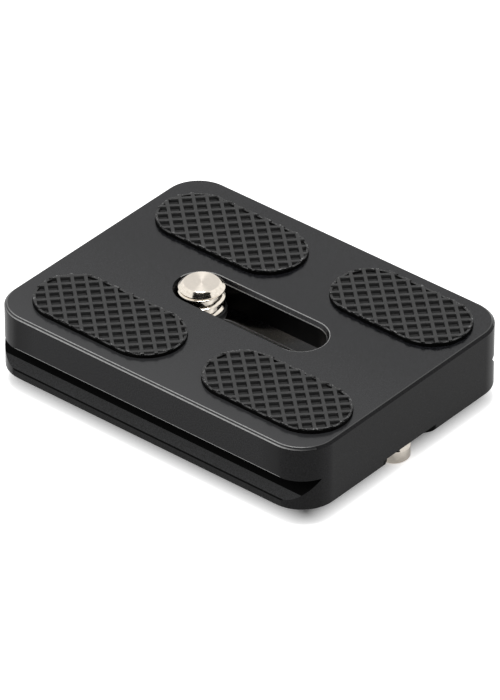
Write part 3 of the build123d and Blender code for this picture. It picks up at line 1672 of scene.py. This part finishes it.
@dataclass
class Studio:
    """White sweep, soft boxes, a black card and the camera."""

    # Camera, in metres, with its lens and sensor in millimetres
    eye: Place = (0.501655, -0.597581, 0.544012)
    aim: Place = (-0.004890, 0.005981, 0.0)
    lens: float = 403.9598
    sensor: float = 36.0
    clip: Point = (0.01, 20.0)

    # Floor: its paint, its glow for the camera and for mirrors, a painted glow under the plate that mirrors
    # see, and a painted shadow near the plate, in millimetres
    floor_size: float = 6.0
    floor_tone: float = 0.92
    floor_lift: float = 0.8
    mirrored_lift: float = 0.12
    painted_glow_under: float = 0.5
    painted_shadow_size: Point = (21.75, 15.5)
    painted_shadow_edge: float = 3.5

    # Light from all round, the card in metres, and the lamps
    ambient: float = 0.5
    card_direction: Place = (0.45, -0.54, 0.8)
    card_distance: float = 0.6
    card_size: Point = (0.8, 0.66)
    card_tone: float = 0.01
    boxes: list[SoftBox] = field(default_factory=lambda: [
        SoftBox("key_box", (-0.05, -0.05, 1.0), distance=0.7, width=0.3, height=0.3, brightness=9.0),
        SoftBox("edge_strip", (-0.53, -0.85, 0.1), distance=0.7, width=0.4, height=0.06, brightness=5.0),
    ])

    def build(self) -> None:
        """Sets the stage."""
        low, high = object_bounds()
        middle = (low + high) / 2
        for box in self.boxes:
            box.build(middle)
        self._world()
        self._floor()
        self._card(middle)
        self._camera()
        bpy.context.scene.view_settings.view_transform = "Standard"

    def _world(self) -> None:
        """Surrounds the plate with white, at a lower level for its light."""
        world = bpy.data.worlds.new("sweep")
        bpy.context.scene.world = world
        graph = Graph(world)
        path = graph.node("ShaderNodeLightPath").outputs
        seen = graph.sum("MAXIMUM", path["Is Camera Ray"], self._mirrored(graph, path))
        level = graph.node("ShaderNodeMapRange", Value=seen, To_Min=self.ambient, To_Max=1.0)
        graph.show(graph.joined("ShaderNodeBackground", WHITE, level.outputs["Result"]))

    def _mirrored(self, graph: Graph, path: bpy.types.NodeOutputs) -> Socket:
        """Picks out the rays that metal and glass mirror or let through."""
        return graph.sum("MAXIMUM", path["Is Glossy Ray"], path["Is Transmission Ray"])

    def _floor(self) -> None:
        """Lays the white floor, which keeps the plate's shadow, deepened near the plate by a painted
        shadow, and is clear from below.
        """
        rest_all()
        bpy.ops.mesh.primitive_plane_add(size=self.floor_size)
        floor = bpy.context.object
        floor.name = "floor"
        floor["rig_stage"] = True
        graph = Graph.named("floor_white")
        paint = graph.joined("ShaderNodeBsdfDiffuse", grey(self.floor_tone))
        glow = graph.joined("ShaderNodeEmission", WHITE, self._lift(graph))
        both = graph.joined("ShaderNodeAddShader", paint, glow)
        under = graph.node("ShaderNodeNewGeometry").outputs["Backfacing"]
        clear = graph.joined("ShaderNodeBsdfTransparent")
        graph.show(graph.joined("ShaderNodeMixShader", under, both, clear))
        dress(floor, graph.owner)

    def _lift(self, graph: Graph) -> Socket:
        """Tells how much the floor glows white, by place and by kind of ray, painting a shadow and a glow
        near the plate.

        Args:
            graph: Tree of the floor's material.

        Returns:
            The glow, which fades under the plate for camera rays as a painted shadow, and outside it for
            mirrored ones, leaving a painted glow under the plate.
        """
        rises = [
            graph.ramp(graph.sum("ABSOLUTE", graph.axis(letter)), half, half + self.painted_shadow_edge)
            for letter, half in zip("XY", self.painted_shadow_size)
        ]
        squares = [graph.sum("POWER", rise, 2.0) for rise in rises]
        outside = graph.sum("MINIMUM", graph.sum("SQRT", graph.sum("ADD", *squares)), 1.0)
        path = graph.node("ShaderNodeLightPath").outputs
        shown = graph.sum("MULTIPLY", path["Is Camera Ray"], outside)
        fall = graph.sum("MULTIPLY", outside, self.painted_glow_under - self.mirrored_lift)
        level = graph.sum("SUBTRACT", self.painted_glow_under, fall)
        glow = graph.sum("MULTIPLY", self._mirrored(graph, path), level)
        return graph.sum("MAXIMUM", graph.sum("MULTIPLY", shown, self.floor_lift), glow)

    def _card(self, target: Vector) -> None:
        """Hangs a black card round the camera, which darkens the steel's front as in the photograph.

        Args:
            target: Point that it faces, in metres.
        """
        rest_all()
        bpy.ops.mesh.primitive_plane_add(size=1)
        card = bpy.context.object
        card.name = "black_card"
        hang(card, target, self.card_direction, self.card_distance)
        card.scale = (*self.card_size, 1)
        apply_place(card)
        card.visible_camera = False
        card.visible_shadow = False
        card.visible_diffuse = False
        card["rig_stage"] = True
        graph = Graph.named("card_black")
        graph.show(graph.joined("ShaderNodeBsdfDiffuse", grey(self.card_tone)))
        dress(card, graph.owner)

    def _camera(self) -> None:
        """Stands the camera where the photograph was taken from."""
        data = bpy.data.cameras.new("camera")
        data.lens = self.lens
        data.sensor_width = self.sensor
        data.clip_start, data.clip_end = self.clip
        camera = bpy.data.objects.new("camera", data)
        camera.location = self.eye
        look = Vector(self.aim) - Vector(self.eye)
        camera.rotation_euler = look.to_track_quat("-Z", "Y").to_euler()
        bpy.context.scene.collection.objects.link(camera)
        bpy.context.scene.camera = camera


PIECES: list[Maker] = [
    PlateSkin(),
    WafflePad("pad_front_left", first=-0.39, cross_first=-0.67),
    WafflePad("pad_front_right", first=0.12, cross_first=-0.79),
    WafflePad("pad_rear_left", first=-0.46, cross_first=0.42),
    WafflePad("pad_rear_right", first=-0.15, cross_first=-0.85),
    CameraScrew(),
    StopPin("stop_pin_left"),
    StopPin("stop_pin_right"),
    FlatRing("screw_washer", "washer", Body.LIFTER, Slot.WASHER, WASHER_NYLON, bore=6.5, softness=0.08),
    FlatRing("retaining_ring", "neck_ring", Body.SLIDER, Slot.RING, RING_RUBBER, bore=4.4, softness=0.15),
]


def main() -> None:
    """Builds the plate, its pieces and the studio."""
    logging.basicConfig(level=logging.INFO, format="%(message)s")
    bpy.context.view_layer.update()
    for maker in PIECES:
        piece = maker.build()
        log.info("%s: %d faces", piece.name, len(piece.data.polygons))
    Studio().build()


if __name__ == "__main__":
    main()
